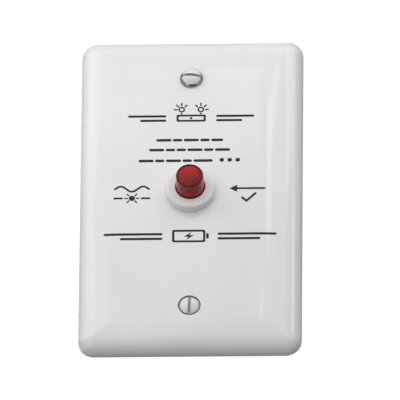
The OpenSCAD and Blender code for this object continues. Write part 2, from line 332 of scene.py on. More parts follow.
def phenolic():
    """Brown moulding powder with pale and dark flecks of filler."""
    m, nt, b = nodes_of("base_brown")
    vec = place(nt)
    fleck = noise(nt, vec, 1500.0, 4.0, 0.7)
    col = ramp(nt, fleck, [(0.30, (0.070, 0.032, 0.016)), (0.50, (0.120, 0.058, 0.030)), (0.64, (0.150, 0.078, 0.042)),
                           (0.78, (0.240, 0.150, 0.090))])
    nt.links.new(col, b.inputs["Base Color"])
    nt.links.new(spread(nt, noise(nt, vec, 300.0), 0.32, 0.48), b.inputs["Roughness"])
    bump(nt, b, fleck, 0.25, 0.00001)
    return m


def tinted(name, lo, hi, rough, through, ior=1.49, soak=None, frost=None, rim=None):
    """Red see-through moulding, polished outside.

    frost is (radius, depth, roughness) of a matt hollow inside it, rim is (radius, depth, colour) of a painted shade
    ring that darkens the front edge.
    """
    m, nt, b = nodes_of(name)
    vec = place(nt)
    tone = ramp(nt, noise(nt, vec, 260.0), [(0.3, lo), (0.7, hi)])
    gloss = spread(nt, noise(nt, vec, 500.0), *rough)
    if frost:
        flat = nt.nodes.new("ShaderNodeVectorMath")
        flat.operation = "MULTIPLY"
        flat.inputs[1].default_value = (1, 0, 1)
        nt.links.new(vec, flat.inputs[0])
        size = nt.nodes.new("ShaderNodeVectorMath")
        size.operation = "LENGTH"
        nt.links.new(flat.outputs["Vector"], size.inputs[0])
        split = nt.nodes.new("ShaderNodeSeparateXYZ")
        nt.links.new(vec, split.inputs["Vector"])
        near = spread(nt, size.outputs["Value"], frost[2], 0.0, frost[0], frost[0] + 0.00001)
        deep = spread(nt, split.outputs["Y"], 0.0, 1.0, -frost[1], -frost[1] + 0.00001)
        both = nt.nodes.new("ShaderNodeMath")
        both.operation = "MULTIPLY_ADD"
        nt.links.new(near, both.inputs[0])
        nt.links.new(deep, both.inputs[1])
        nt.links.new(gloss, both.inputs[2])
        gloss = both.outputs["Value"]
    # painted shade: a darker ring of colour on the cap's front edge, standing in for the dark look of the wall seen
    # end-on
    if rim:
        out = spread(nt, size.outputs["Value"], 0.0, 1.0, rim[0], rim[0] + 0.0003)
        front = spread(nt, split.outputs["Y"], 1.0, 0.0, -rim[1] - 0.0003, -rim[1])
        edge = nt.nodes.new("ShaderNodeMath")
        edge.operation = "MULTIPLY"
        nt.links.new(out, edge.inputs[0])
        nt.links.new(front, edge.inputs[1])
        rim_shade_mix = nt.nodes.new("ShaderNodeMix")
        rim_shade_mix.data_type = "RGBA"
        nt.links.new(edge.outputs["Value"], rim_shade_mix.inputs[0])
        nt.links.new(tone, rim_shade_mix.inputs[6])
        rim_shade_mix.inputs[7].default_value = (*rim[2], 1.0)
        tone = rim_shade_mix.outputs[2]
    nt.links.new(tone, b.inputs["Base Color"])
    nt.links.new(gloss, b.inputs["Roughness"])
    bump(nt, b, noise(nt, vec, 900.0, 2.0), 0.05, 0.00001)
    b.inputs["IOR"].default_value = ior
    b.inputs["Transmission Weight"].default_value = through
    if soak:
        v = nt.nodes.new("ShaderNodeVolumeAbsorption")
        v.inputs["Color"].default_value = (*soak[0], 1.0)
        v.inputs["Density"].default_value = soak[1]
        nt.links.new(v.outputs["Volume"], nt.nodes["Material Output"].inputs["Volume"])
    return m


base_brown = phenolic()
# the rim colour (0.30, 0.009, 0.009) is painted shade on the cap's front edge
lens_red = tinted("lens_red", (0.87, 0.018, 0.016), (0.92, 0.026, 0.022), (0.04, 0.08), 0.95, ior=1.36,
                  soak=((0.84, 0.03, 0.025), 800.0), frost=(0.0039, 0.0146, 0.27), rim=(0.00345, 0.0145, (0.30, 0.009, 0.009)))
lens_red.node_tree.nodes["Principled BSDF"].inputs["Specular IOR Level"].default_value = 0.30
led_red = tinted("led_red", (0.62, 0.03, 0.025), (0.70, 0.05, 0.04), (0.22, 0.30), 0.35)

# ---------------------------------------------------------------- wall plate

W, H, D = 69.85, 114.3, 5.6
CORNER, RIM, ROLL, CROWN, CROWN_X, CROWN_Y = 5.2, 0.7, 6.3, 0.45, 13.46, 11.5
INNER = 3.4
PITCH = 83.3


def outline(d, z, across=None):
    """The plate's outline, d inside its edge at top and bottom and across inside it at the sides."""
    x, y, r = W / 2 - (d if across is None else across), H / 2 - d, max(CORNER - d, 0.55)
    pts = []
    corners = [(x - r, y - r, 0), (r - x, y - r, 90), (r - x, r - y, 180), (x - r, r - y, 270)]
    for k, (cx, cy, a0) in enumerate(corners):
        n = 14
        for i in range(n + 1):
            a = math.radians(a0 + 90 * i / n)
            pts.append((cx + r * math.cos(a), cy + r * math.sin(a), z))
        last = pts[-1]
        nx, ny, na = corners[(k + 1) % 4]
        a = math.radians(na)
        first = (nx + r * math.cos(a), ny + r * math.sin(a))
        m = 16 if k % 2 == 0 else 26
        for i in range(1, m):
            pts.append((lerp(last[0], first[0], i / m), lerp(last[1], first[1], i / m), z))
    return pts


def front_profile():
    """(inset, height, inset at the sides) from the back edge over the rolled edge to the flat middle."""
    phi = math.radians(82)
    for _ in range(40):
        d1 = ROLL * (1 - math.cos(phi))
        rise = (D - CROWN - RIM) / math.sin(phi)
        lean = 2 * CROWN / (CROWN_X - d1)
        phi = math.atan((rise / ROLL) / lean)
    bow = lean * (CROWN_Y - d1) / CROWN
    pts = [(d, z, d) for d, z in ((0.28, 0.0), (0.14, 0.03), (0.04, 0.12), (0.0, 0.26), (0.0, 0.42), (0.0, RIM))]
    n = 22
    for i in range(1, n + 1):
        t = phi * i / n
        d = ROLL * (1 - math.cos(t))
        pts.append((d, RIM + rise * math.sin(t), d))
    n = 20
    for i in range(1, n + 1):
        s = i / n
        pts.append((lerp(d1, CROWN_Y, 1 - (1 - s) ** (2 / bow)), D - CROWN * (1 - s) ** 2, lerp(d1, CROWN_X, s)))
    return pts


FRONT = front_profile()


def rise_at(d, k):
    """Height of the face d inside the edge, at top and bottom (k = 0) or at the sides (k = 2)."""
    for p, q in zip(FRONT[5:], FRONT[6:]):
        if d <= q[k]:
            return lerp(p[1], q[1], (d - p[k]) / (q[k] - p[k]))
    return D


def face_z(x, y):
    """Height of the plate's face over a point."""
    return min(rise_at(H / 2 - abs(y), 0), rise_at(W / 2 - abs(x), 2))


def build_plate():
    k = Skin()
    hollow = [(2.02, 0.0), (2.12, 0.03), (2.2, 0.16), (2.2, 0.4)]
    hollow += [(2.2 + 5.04 * (1 - math.cos(math.radians(a))), 0.4 + (INNER - 0.4) * math.sin(math.radians(a)))
               for a in range(6, 91, 6)]
    hollow += [(7.7, INNER)]
    ids = k.tube([outline(*p) for p in list(reversed(FRONT)) + hollow])
    top, bottom = ids[0], ids[-1]
    tops, bottoms = [], []
    n = 80
    middle = [(6.7, D), (6.3, D), (6.18, D - 0.03), (6.11, D - 0.12), (6.1, D - 0.25), (6.1, INNER + 0.25),
              (6.13, INNER + 0.08), (6.25, INNER), (6.7, INNER)]
    screw = [(3.9, D), (3.67, D), (3.60, D - 0.015), (3.56, D - 0.05), (3.55, D - 0.12), (3.55, 4.68), (3.53, 4.62),
             (3.47, 4.6), (2.44, 4.6), (2.37, 4.59), (2.33, 4.56), (1.99, 4.17), (1.96, 4.1), (1.95, 4.0), (1.95, 3.5),
             (1.95, 2.2), (1.98, 2.07), (2.1, 2.0), (4.25, 2.0), (4.45, 2.04), (4.56, 2.12), (4.6, 2.3),
             (4.62, INNER - 0.25), (4.72, INNER - 0.08), (4.9, INNER), (5.3, INNER)]
    for prof, cy in ((middle, 0.0), (screw, PITCH / 2), (screw, -PITCH / 2)):
        t = k.tube([circle(r, z, n, 0.0, cy) for r, z in prof])
        tops.append(t[0])
        bottoms.append(t[-1])
    # shallow round marks that the mould's pins leave on the back
    for sx in (-1, 1):
        for y in (-33.0, 0.0, 33.0):
            t = k.tube([circle(r, z, 40, sx * 23.0, y) for r, z in
                        ((2.6, INNER), (2.3, INNER), (2.25, INNER + 0.03), (2.22, INNER + 0.14), (1.9, INNER + 0.16))])
            bottoms.append(t[0])
            k.cap(t[-1])
    k.cap(top, tops)
    k.cap(bottom, bottoms)
    return solid("plate_shell", k, 40.0)


shell = fit(build_plate(), [plate_white, recess_painted_shade], "plate", ["wall_plate"])
# faces inside the screw recesses take the darker grey of painted shade
for p in shell.data.polygons:
    c = p.center
    if math.hypot(c.x / MM, abs(c.z / MM) - PITCH / 2) < 3.58 and 2.3 < -c.y / MM < D - 0.04:
        p.material_index = 1

# ---------------------------------------------------------------- plate screws


def threaded(z0, z1, r_out, depth, pitch, n, per=10, fade=1.0, cx=0.0, cy=0.0):
    """Loops of a helical thread from z0 up to z1, its ends run out over fade turns."""
    count = max(2, int(round((z1 - z0) / pitch * per)))
    loops = []
    for i in range(count + 1):
        z = lerp(z0, z1, i / count)
        turns = min(z - z0, z1 - z) / pitch
        amp = min(1.0, max(0.0, turns / fade))
        pts = []
        for j in range(n):
            ph = (z / pitch - j / n) % 1.0
            tri = abs(2 * ph - 1)
            cut = min(1.0, max(0.0, (tri - 0.12) / 0.76))
            r = r_out - depth * (cut * amp + (1 - amp))
            a = 2 * math.pi * j / n
            pts.append((cx + r * math.cos(a), cy + r * math.sin(a), z))
        loops.append(pts)
    return loops


def build_screw(name, cy, turn, lift):
    """Oval-head screw: threaded shank, plain neck, cone under the head, domed head with one slot."""
    n = 72
    head, dome, cone, edge = 3.0, 1.15, 1.5, D + lift
    tip, neck = edge - 19.05, edge - cone
    ball = (head * head + dome * dome) / (2 * dome)
    k = Skin()
    shank = [circle(0.55, tip, n, 0, cy), circle(1.0, tip + 0.04, n, 0, cy), circle(1.22, tip + 0.2, n, 0, cy)]
    shank += threaded(tip + 0.35, edge - 5.5, 1.75, 0.43, 0.794, n, fade=0.7, cy=cy)
    body = [(1.42, edge - 5.3), (1.5, edge - 5.1), (1.5, edge - 3.0), (1.5, neck - 0.2), (1.55, neck - 0.08), (1.66, neck - 0.01),
            (1.74, neck + 0.06), (head - 0.08, edge - 0.11), (head - 0.02, edge - 0.04), (head - 0.005, edge + 0.01)]
    half = math.asin((head - 0.05) / ball)
    body += [(ball * math.sin(half * i / 16), edge + dome - ball + ball * math.cos(half * i / 16))
             for i in range(16, 0, -1)]
    ids = k.tube(shank + [circle(r, z, n, 0, cy) for r, z in body])
    k.pole(ids[-1], (0, cy, edge + dome))
    k.pole(ids[0], (0, cy, tip))
    ob = solid(name, k, 42.0)
    a = math.radians(turn)
    carve(ob, [block(-6, 6, -0.46, 0.46, edge - 0.25, edge + 4, a, 0, cy)], sharp=32.0)
    fit(ob, [enamel, zinc, slot_wear_and_shade], "plate", ["plate_screws"])
    for p in ob.data.polygons:
        x, y, z = p.center.x / MM, p.center.z / MM - cy, -p.center.y / MM
        across = abs(y * math.cos(a) - x * math.sin(a))
        # faces inside the slot take the grey of worn paint plus painted shade
        if across < 0.465 and z > edge - 0.26:
            p.material_index = 2
        elif z < edge - 0.05:
            p.material_index = 1
    return ob


build_screw("plate_screw_top", PITCH / 2, -4.0, 1.35)
build_screw("plate_screw_bottom", -PITCH / 2, 87.5, -0.2)

# ---------------------------------------------------------------- bezel, washer and nut


def build_bezel():
    k = Skin()
    r0, r1, top, e = 7.72, 7.67, 8.7, 0.7
    prof = [(6.0, D + 0.15), (6.12, D), (7.5, D), (7.63, D + 0.03), (7.70, D + 0.12), (r0, D + 0.28)]
    prof += [(lerp(r0, r1, 0.5), lerp(D + 0.28, top - e, 0.5))]
    prof += arc(r1 - e, top - e, e, 0, 90, 12)
    prof += [(6.2, top), (5.3, top)]
    prof += arc(4.88, top - 0.23, 0.23, 90, 180, 8)
    prof += [(4.65, 8.12), (4.70, 8.03), (4.82, 8.0), (5.92, 8.0), (6.0, 7.9)]
    k.lathe(prof, 160, closed=True)
    return solid("bezel_ring", k, 40.0)


def build_nut():
    """Hex nut with rounded-off corners on its back face and a chamfered bore."""
    k = Skin()
    n, af, front, rear = 180, 14.3, 2.8, 0.8

    def hexagon(limit, z):
        pts = []
        for i in range(n):
            a = 2 * math.pi * i / n
            w = (math.degrees(a) % 60) - 30
            r = min(af / 2 / math.cos(math.radians(w)), limit)
            pts.append((r * math.cos(a), r * math.sin(a), z))
        return pts

    loops = [circle(6.0, front - 0.2, n), circle(6.2, front, n), hexagon(7.9, front), hexagon(8.05, front - 0.03),
             hexagon(8.2, front - 0.12), hexagon(9.0, front - 0.25)]
    loops += [hexagon(7.05 + 1.5 * t, rear + 0.75 * t) for t in (1.0, 0.85, 0.7, 0.55, 0.42, 0.3, 0.2, 0.1, 0.0)]
    loops += [circle(6.95, rear - 0.0, n), circle(6.4, rear, n), circle(6.0, rear + 0.4, n)]
    k.ring(loops)
    return solid("nut_hex", k, 30.0)


def build_washer():
    """Internal-tooth lock washer."""
    k = Skin()
    n, front, rear = 240, 3.4, 2.8

    def teeth(z, inset):
        pts = []
        for i in range(n):
            a = 2 * math.pi * i / n
            ph = (10 * i / n + 0.5) % 1.0
            gap = min(1.0, max(0.0, (0.19 + 0.03 - abs(ph - 0.5)) / 0.06))
            r = lerp(6.05, 7.05, gap) + inset
            pts.append((r * math.cos(a), r * math.sin(a), z))
        return pts

    k.ring([teeth(front, 0.0), circle(8.2, front, n), circle(8.28, front - 0.06, n), circle(8.3, front - 0.15, n),
            circle(8.3, rear + 0.15, n), circle(8.28, rear + 0.06, n), circle(8.2, rear, n), teeth(rear, 0.06),
            teeth(rear + 0.06, 0.0)])
    return solid("washer_toothed", k, 35.0)


fit(build_bezel(), bezel_white, "plate", ["bezel_nut"])
fit(build_nut(), zinc, "plate", ["hex_nut"])
fit(build_washer(), zinc, "plate", ["lock_washer"])

# ---------------------------------------------------------------- button


def build_cap():
    """Push button's cap: a cup with fine upright ribs inside its wall, above the plunger's snout."""
    k = Skin()
    e, n, ribs = 0.42, 192, 32
    prof = list(reversed(arc(4.25 - e, 15.17 - e, e, 0, 90, 9)))
    prof += [(4.44, 9.0), (4.45, 8.6), (4.45, 5.6), (4.38, 5.5), (3.82, 5.5), (3.76, 5.58), (3.755, 9.1)]
    front = k.tube([circle(2.6, 15.19, n)] + [circle(r, z, n) for r, z in prof])

    def ribbed(r, z, depth):
        return [((r - depth * (0.5 + 0.5 * math.cos(ribs * 2 * math.pi * i / n))) * math.cos(2 * math.pi * i / n),
                 (r - depth * (0.5 + 0.5 * math.cos(ribs * 2 * math.pi * i / n))) * math.sin(2 * math.pi * i / n), z)
                for i in range(n)]

    inner = [ribbed(3.75, 9.2, 0.0), ribbed(3.745, 9.45, 0.12), ribbed(3.69, 13.9, 0.12), ribbed(3.66, 14.1, 0.08),
             ribbed(3.58, 14.24, 0.03), circle(3.42, 14.3, n), circle(2.0, 14.3, n)]
    back = k.tube(inner)
    k.bridge(front[-1], back[0])
    k.pole(front[0], (0, 0, 15.2))
    k.pole(back[-1], (0, 0, 14.3))
    return solid("button_cap", k, 40.0)


fit(build_cap(), lens_red, "button", ["lens_cap"])


def build_lamp():
    """Lamp with a flat on its rim, a straight body and a round nose."""
    k = Skin()
    n = 96

    def rim(r, z):
        return [(min(x, 1.6), y, z) for x, y, z in circle(r, z, n)]

    loops = [rim(1.85, 5.0), rim(1.95, 5.08), rim(1.95, 5.9), rim(1.88, 5.98)]
    loops += [circle(r, z, n) for r, z in [(1.58, 6.0), (1.5, 6.08), (1.5, 7.6), (1.5, 8.8)]]
    loops += [circle(1.5 * math.cos(math.radians(a)), 8.8 + 1.5 * math.sin(math.radians(a)), n) for a in range(10, 90, 10)]
    ids = k.tube(loops)
    k.pole(ids[-1], (0, 0, 10.3))
    k.cap(ids[0])
    return solid("lamp_bulb", k, 40.0)


fit(build_lamp(), led_red, "plate", ["led_lamp"])

# ---------------------------------------------------------------- switch body


def ears(z, cut=0.0, r=9.6):
    """Outline of the cup with its two ears, drawn in by cut."""
    r, bar, end = r - cut, 2.3 - cut, 2.6 - cut
    a0 = math.asin(bar / r)
    b0 = math.pi - math.asin(bar / end)
    pts = []
    for side in (0, 1):
        t = math.pi * side
        half = []
        for i in range(15):
            a = lerp(-b0, b0, i / 14)
            half.append((12.2 + end * math.cos(a), end * math.sin(a)))
        x0, x1 = half[-1][0], r * math.cos(a0)
        half += [(lerp(x0, x1, 0.5), bar)]
        for i in range(41):
            a = lerp(a0, math.pi - a0, i / 40)
            half.append((r * math.cos(a), r * math.sin(a)))
        half += [(-lerp(x0, x1, 0.5), bar)]
        pts += [(x * math.cos(t) - y * math.sin(t), x * math.sin(t) + y * math.cos(t), z) for x, y in half]
    return pts


def build_housing():
    k = Skin()
    n = 144
    outer = [(8.35, -14.0), (9.35, -14.0), (9.52, -13.95), (9.6, -13.78), (9.6, -9.0), (9.55, -8.9), (9.55, -8.6),
             (9.6, -8.5), (9.6, -1.15), (9.56, -1.0), (9.12, -0.55), (8.98, -0.5), (6.2, -0.5), (5.75, -0.45)]
    loops = [circle(r, z, n) for r, z in outer]
    loops += threaded(-0.3, 7.75, 5.95, 0.42, 0.794, n, per=8, fade=0.6)
    inner = [(5.35, 7.9), (4.75, 7.9), (4.65, 7.87), (4.6, 7.78), (4.6, -2.02), (4.68, -2.1), (8.05, -2.1), (8.2, -2.25),
             (8.2, -13.85)]
    loops += [circle(r, z, n) for r, z in inner]
    k.ring(loops)
    cup = solid("housing_cup", k, 40.0)
    e = Skin()
    ids = e.tube([ears(-11.4, 0.30), ears(-11.44, 0.16), ears(-11.55, 0.06), ears(-11.7, 0.0), ears(-13.75, 0.0),
                  ears(-13.9, 0.05), ears(-14.0, 0.2)])
    bore = e.tube([circle(8.9, -11.4, n), circle(8.9, -14.0, n)])
    hl, hr = (e.tube([circle(r, z, 40, sx * 12.2) for r, z in ((1.5, -11.4), (1.25, -11.4), (1.12, -11.45), (1.05, -11.6),
                                                              (1.05, -14.0))]) for sx in (-1, 1))
    e.cap(ids[0], [bore[0], hl[0], hr[0]])
    e.cap(ids[-1], [bore[-1], hl[-1], hr[-1]])
    flange = solid("tool", e, 40.0)
    return carve(cup, [flange], "UNION", 32.0)


def build_base():
    """Moulded base: outer flange, spigot into the cup, slots and holes for what it carries."""
    k = Skin()
    n = 96
    back, front, nose = -17.0, -14.0, -13.2
    skirt = k.tube([ears(front, 0.2), ears(front - 0.05, 0.08), ears(front - 0.16, 0.0), ears(back + 0.35, 0.0),
                    ears(back + 0.14, 0.06), ears(back + 0.03, 0.18), ears(back, 0.36), ears(back, 0.7)])
    spigot = k.tube([circle(8.1, front, n), circle(8.1, nose + 0.15, n), circle(7.95, nose, n)])
    shallow, through, fronts = [], [], []

    def hole(cx, cy, r, z1, flare=0.12):
        return k.tube([circle(r + flare + 0.2, back, 40, cx, cy), circle(r + flare, back, 40, cx, cy),
                       circle(r + 0.03, back + 0.05, 40, cx, cy), circle(r, back + 0.16, 40, cx, cy),
                       circle(r, z1, 40, cx, cy)])

    post = hole(0, 0, 2.35, nose)
    through.append(post)
    for sx in (-1, 1):
        h = hole(sx * 12.2, 0, 1.2, front)
        shallow.append(h)
        w, t = 1.55, 0.35
        loops = []
        for z, g in ((back, 0.25), (back, 0.08), (back + 0.1, 0.0), (nose, 0.0)):
            loops.append([(sx * 6.9 + x, y, z) for x, y in
                          ((-t - g, -w - g), (t + g, -w - g), (t + g, w + g), (-t - g, w + g))])
        through.append(k.tube(loops))
        p = hole(0, sx * 3.9, 0.65, -14.95, 0.05)
        k.cap(p[-1])
        fronts.append(p)
    k.cap(skirt[0], [spigot[0]] + [h[-1] for h in shallow])
    k.cap(spigot[-1], [t[-1] for t in through])
    k.cap(skirt[-1], [t[0] for t in through] + [h[0] for h in shallow] + [p[0] for p in fronts])
    return solid("base_moulding", k, 35.0)


fit(build_housing(), housing_black, "plate", ["switch_housing"])
fit(build_base(), base_brown, "plate", ["switch_base"])


def bar(k, x0, x1, y0, y1, z0, z1, e):
    """A raised bar with slanted sides."""
    ids = k.tube([[(x0, y0, z0), (x1, y0, z0), (x1, y1, z0), (x0, y1, z0)],
                  [(x0 + e, y0 + e, z1), (x1 - e, y0 + e, z1), (x1 - e, y1 - e, z1), (x0 + e, y1 - e, z1)]])
    k.f.append(tuple(ids[0]))
    k.f.append(tuple(ids[1]))


def build_signs():
    """Raised plus and minus beside the lamp's two lugs."""
    k = Skin()
    back = -17.0
    arm, half = 0.8, 0.17

    def cross(s, z):
        a, h = arm - s, half - s
        return [(3.3 + x, 4.6 + y, z) for x, y in
                ((-h, -a), (h, -a), (h, -h), (a, -h), (a, h), (h, h), (h, a), (-h, a), (-h, h), (-a, h), (-a, -h), (-h, -h))]

    ids = k.tube([cross(0.0, back + 0.02), cross(0.05, back - 0.18)])
    k.cap(ids[0])
    k.cap(ids[1])
    bar(k, 3.3 - arm, 3.3 + arm, -4.6 - half, -4.6 + half, back + 0.02, back - 0.18, 0.05)
    return solid("base_signs", k, 20.0)


fit(build_signs(), base_brown, "plate")


def build_base_screws():
    k = Skin()
    for sx in (-1, 1):
        k.lathe([(0.0, -11.8), (0.6, -11.8), (1.0, -12.3), (1.0, -16.9), (1.7, -17.0), (1.86, -17.06), (1.9, -17.2),
                 (1.9, -17.55), (1.84, -17.78), (1.66, -17.98), (1.35, -18.12), (0.9, -18.19), (0.45, -18.2), (0.0, -18.2)],
                64, sx * 12.2, 0.0)
    ob = solid("base_screw_pair", k, 35.0)
    tools = [block(-0.26, 0.26, -3, 3, -19.0, -17.62, math.radians(18 * sx), sx * 12.2, 0.0) for sx in (-1, 1)]
    return carve(ob, tools, sharp=32.0)


fit(build_base_screws(), screw_steel, "plate", ["base_screws"])

# ---------------------------------------------------------------- terminals


def sweep_strip(path, widths, thick, edge, to_xyz):
    """A flat strip bent along path, with broken edges. to_xyz takes (along a, along b, across)."""
    k = Skin()
    loops = []
    for i, (a, b) in enumerate(path):
        pa, pb = path[max(i - 1, 0)], path[min(i + 1, len(path) - 1)]
        ta, tb = pb[0] - pa[0], pb[1] - pa[1]
        m = math.hypot(ta, tb)
        na, nb = -tb / m, ta / m
        w, t = widths[i] / 2, thick / 2
        sec = [(w - edge, t), (w, t - edge), (w, -t + edge), (w - edge, -t), (-w + edge, -t), (-w, -t + edge),
               (-w, t - edge), (-w + edge, t)]
        loops.append([to_xyz(a + na * h, b + nb * h, c) for c, h in sec])
    ids = k.tube(loops)
    k.f.append(tuple(ids[0]))
    k.f.append(tuple(ids[-1]))
    return k


def bent(p0, corner, p1, r, straight):
    """Path from p0 round a right-angled corner to p1."""
    d0 = (Vector(corner) - Vector(p0)).normalized()
    d1 = (Vector(p1) - Vector(corner)).normalized()
    a, c = Vector(corner) - d0 * r, Vector(corner) - d0 * r + d1 * r
    pts = [tuple(p0)]
    for i in range(9):
        t = math.pi / 2 * i / 8
        pts.append(tuple(c + d0 * (r * math.sin(t)) - d1 * (r * math.cos(t))))
    tail = Vector(pts[-1])
    for i in range(1, straight + 1):
        pts.append(tuple(tail.lerp(Vector(p1), i / straight)))
    return pts


def tip_widths(path, full, tip, end, length):
    """Full width, drawn in to a rounded tip over the last length."""
    out = []
    for a, b in path:
        d = abs(b - end)
        t = min(1.0, d / length)
        out.append(lerp(tip, full, math.sqrt(max(0.0, 1 - (1 - t) ** 2))))
    return out


def build_contact(name, side):
    path = bent((4.3, -6.3), (6.9, -6.3), (6.9, -23.6), 0.55, 4)
    path += [(6.9, -23.6 - 1.4 * t) for t in (0.25, 0.45, 0.62, 0.76, 0.87, 0.95, 1.0)]
    widths = tip_widths(path, 3.0, 1.2, -25.0, 1.3)
    k = sweep_strip(path, widths, 0.6, 0.07, lambda a, b, c: (side * a, side * c, b))
    ob = solid(name, k, 25.0)
    return carve(ob, [drill(0.8, (side * 5, 0, -22.8), (side * 9, 0, -22.8))], sharp=25.0)


def build_lug(name, side):
    path = bent((0.6, -17.25), (6.25, -17.25), (6.25, -23.7), 0.5, 4)
    path += [(6.25, -23.7 - 1.3 * t) for t in (0.25, 0.45, 0.62, 0.76, 0.87, 0.95, 1.0)]
    widths = tip_widths(path, 2.6, 1.0, -25.0, 1.2)
    k = sweep_strip(path, widths, 0.5, 0.06, lambda a, b, c: (-side * c, side * a, b))
    ob = solid(name, k, 25.0)
    return carve(ob, [drill(0.8, (0, side * 4, -22.8), (0, side * 9, -22.8)),
                      drill(0.42, (0, side * 1.27, -18.5), (0, side * 1.27, -16.5), 24),
                      drill(0.65, (0, side * 3.9, -18.5), (0, side * 3.9, -16.5), 32)], sharp=25.0)


fit(build_contact("line_strip", 1), brass, "plate", ["line_terminal"])
fit(build_contact("load_strip", -1), brass, "plate", ["load_terminal"])
fit(build_lug("anode_lug_strip", 1), tinned, "plate", ["anode_terminal"])
fit(build_lug("cathode_lug_strip", -1), tinned, "plate", ["cathode_terminal"])


def build_pins():
    k = Skin()
    for s in (-1, 1):
        k.lathe([(0.0, -15.1), (0.45, -15.1), (0.6, -15.3), (0.6, -17.46), (0.98, -17.5), (1.08, -17.54), (1.1, -17.62),
                 (1.02, -17.74), (0.8, -17.82), (0.45, -17.85), (0.0, -17.85)], 48, 0.0, s * 3.9)
    return solid("pin_pair", k, 35.0)


def build_solder():
    """Solder drawn up round the two lamp legs where they pass the lugs."""
    k = Skin()
    for s in (-1, 1):
        k.lathe([(0.0, -17.45), (0.86, -17.45), (0.80, -17.54), (0.62, -17.66), (0.48, -17.82), (0.40, -18.0), (0.36, -18.16),
                 (0.28, -18.27), (0.0, -18.3)], 40, 0.0, s * 1.27)
    return solid("solder_joints", k, 50.0)


fit(build_pins(), brass, "plate", ["terminal_pins"])
fit(build_solder(), wire, "plate")

# ---------------------------------------------------------------- return spring


def build_spring():
    """Coil with both end turns closed."""
    k = Skin()
    wire_r, turns, per, sides = 0.225, 5.0, 40, 12
    z0, z1 = -13.18 + wire_r, -7.8 - wire_r
    count = int(turns * per)
    flat = 0.9
    loops = []
    for i in range(count + 1):
        t = turns * i / count
        lead = 0.459
        if t < flat:
            z = z0 + lead * t
        elif t > turns - flat:
            z = z1 - lead * (turns - t)
        else:
            z = lerp(z0 + lead * flat, z1 - lead * flat, (t - flat) / (turns - 2 * flat))
        a = 2 * math.pi * t
        loops.append([((4.0 + wire_r * math.cos(b)) * math.cos(a), (4.0 + wire_r * math.cos(b)) * math.sin(a),
                       z + wire_r * math.sin(b)) for b in (2 * math.pi * j / sides for j in range(sides))])
    ids = k.tube(loops)
    k.f.append(tuple(ids[0]))
    k.f.append(tuple(ids[-1]))
    return solid("spring_coil", k, 40.0)


spring = fit(build_spring(), spring_steel, "plate", ["return_spring"])
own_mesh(spring)

# ---------------------------------------------------------------- carried-over nodes

for name, mat in (("plunger", nylon), ("lamp_post", nylon), ("contact_bridge", brass), ("contact_tips", silver),
                  ("led_leads", wire)):
    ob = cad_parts[name]
    ob.data.materials.clear()
    ob.data.materials.append(mat)

# ---------------------------------------------------------------- printed legend


def press(k, outer, holes=()):
    """One printed shape: a film of ink on the face, following its curve."""
    tops, lows = [], []
    for pts in (outer, *holes):
        hi = k.loop([(x, y, face_z(x, y) + 0.025) for x, y in pts])
        lo = k.loop([(x, y, face_z(x, y) - 0.03) for x, y in pts])
        k.bridge(hi, lo)
        tops.append(hi)
        lows.append(lo)
    k.cap(tops[0], tops[1:])
    k.cap(lows[0], lows[1:])


def disc(cx, cy, r, n=40):
    return [(cx + r * math.cos(2 * math.pi * i / n), cy + r * math.sin(2 * math.pi * i / n)) for i in range(n)]


def stroke(k, pts, width):
    """One printed line along pts, with round ends."""
    h = width / 2
    pts = [Vector(p) for p in pts]
    d0, d1 = (pts[1] - pts[0]).normalized(), (pts[-1] - pts[-2]).normalized()
    row = [(pts[0] - d0 * (h * math.sin(a)), d0, h * math.cos(a)) for a in (1.45, 1.1, 0.75, 0.38)]
    for i, p in enumerate(pts):
        a = (p - pts[i - 1]).normalized() if i else d0
        b = (pts[i + 1] - p).normalized() if i + 1 < len(pts) else d1
        m = (a + b).normalized()
        row.append((p, m, h / max(0.5, m.dot(a))))
    row += [(pts[-1] + d1 * (h * math.sin(a)), d1, h * math.cos(a)) for a in (0.38, 0.75, 1.1, 1.45)]
    loops = []
    for p, d, w in row:
        l, r = (p.x - d.y * w, p.y + d.x * w), (p.x + d.y * w, p.y - d.x * w)
        loops.append([(*l, face_z(*l) + 0.025), (*r, face_z(*r) + 0.025), (*r, face_z(*r) - 0.03),
                      (*l, face_z(*l) - 0.03)])
    ids = k.tube(loops)
    k.f.append(tuple(ids[0]))
    k.f.append(tuple(ids[-1]))


def rule(k, x0, x1, y, width):
    n = max(1, int(abs(x1 - x0) / 1.2))
    stroke(k, [(lerp(x0, x1, i / n), y) for i in range(n + 1)], width)


def slab_outline(x0, x1, y0, y1, r, n=6):
    pts = []
    for cx, cy, a0 in ((x1 - r, y1 - r, 0), (x0 + r, y1 - r, 90), (x0 + r, y0 + r, 180), (x1 - r, y0 + r, 270)):
        for i in range(n + 1):
            a = math.radians(a0 + 90 * i / n)
            pts.append((cx + r * math.cos(a), cy + r * math.sin(a)))
    return pts


def rays(k, cx, cy, r0, r1, width, angles):
    for a in angles:
        c, s = math.cos(math.radians(a)), math.sin(math.radians(a))
        stroke(k, [(cx + r0 * c, cy + r0 * s), (cx + r1 * c, cy + r1 * s)], width)


def build_legend_top():
    """Twin-head lamp unit between two pairs of rules."""
    k = Skin()
    y = 27.2
    press(k, slab_outline(-4.6, 4.6, y - 1.5, y + 1.1, 0.5), [slab_outline(-3.92, 3.92, y - 0.82, y + 0.42, 0.2)])
    for s in (-1, 1):
        press(k, slab_outline(s * 3.0 - 0.3, s * 3.0 + 0.3, y + 1.25, y + 1.75, 0.1))
        press(k, disc(s * 3.0, y + 2.95, 1.05), [disc(s * 3.0, y + 2.95, 0.55)])
        rays(k, s * 3.0, y + 2.95, 1.5, 2.3, 0.48, (90 - s * 90, 90 - s * 45, 90, 90 + s * 45))
        rule(k, s * 8.2, s * 19.4, y + 0.55, 0.80)
        rule(k, s * 8.2, s * 15.6, y - 1.05, 0.80)
    press(k, disc(0.0, y - 0.2, 0.42))
    return solid("legend_top", k, 30.0)


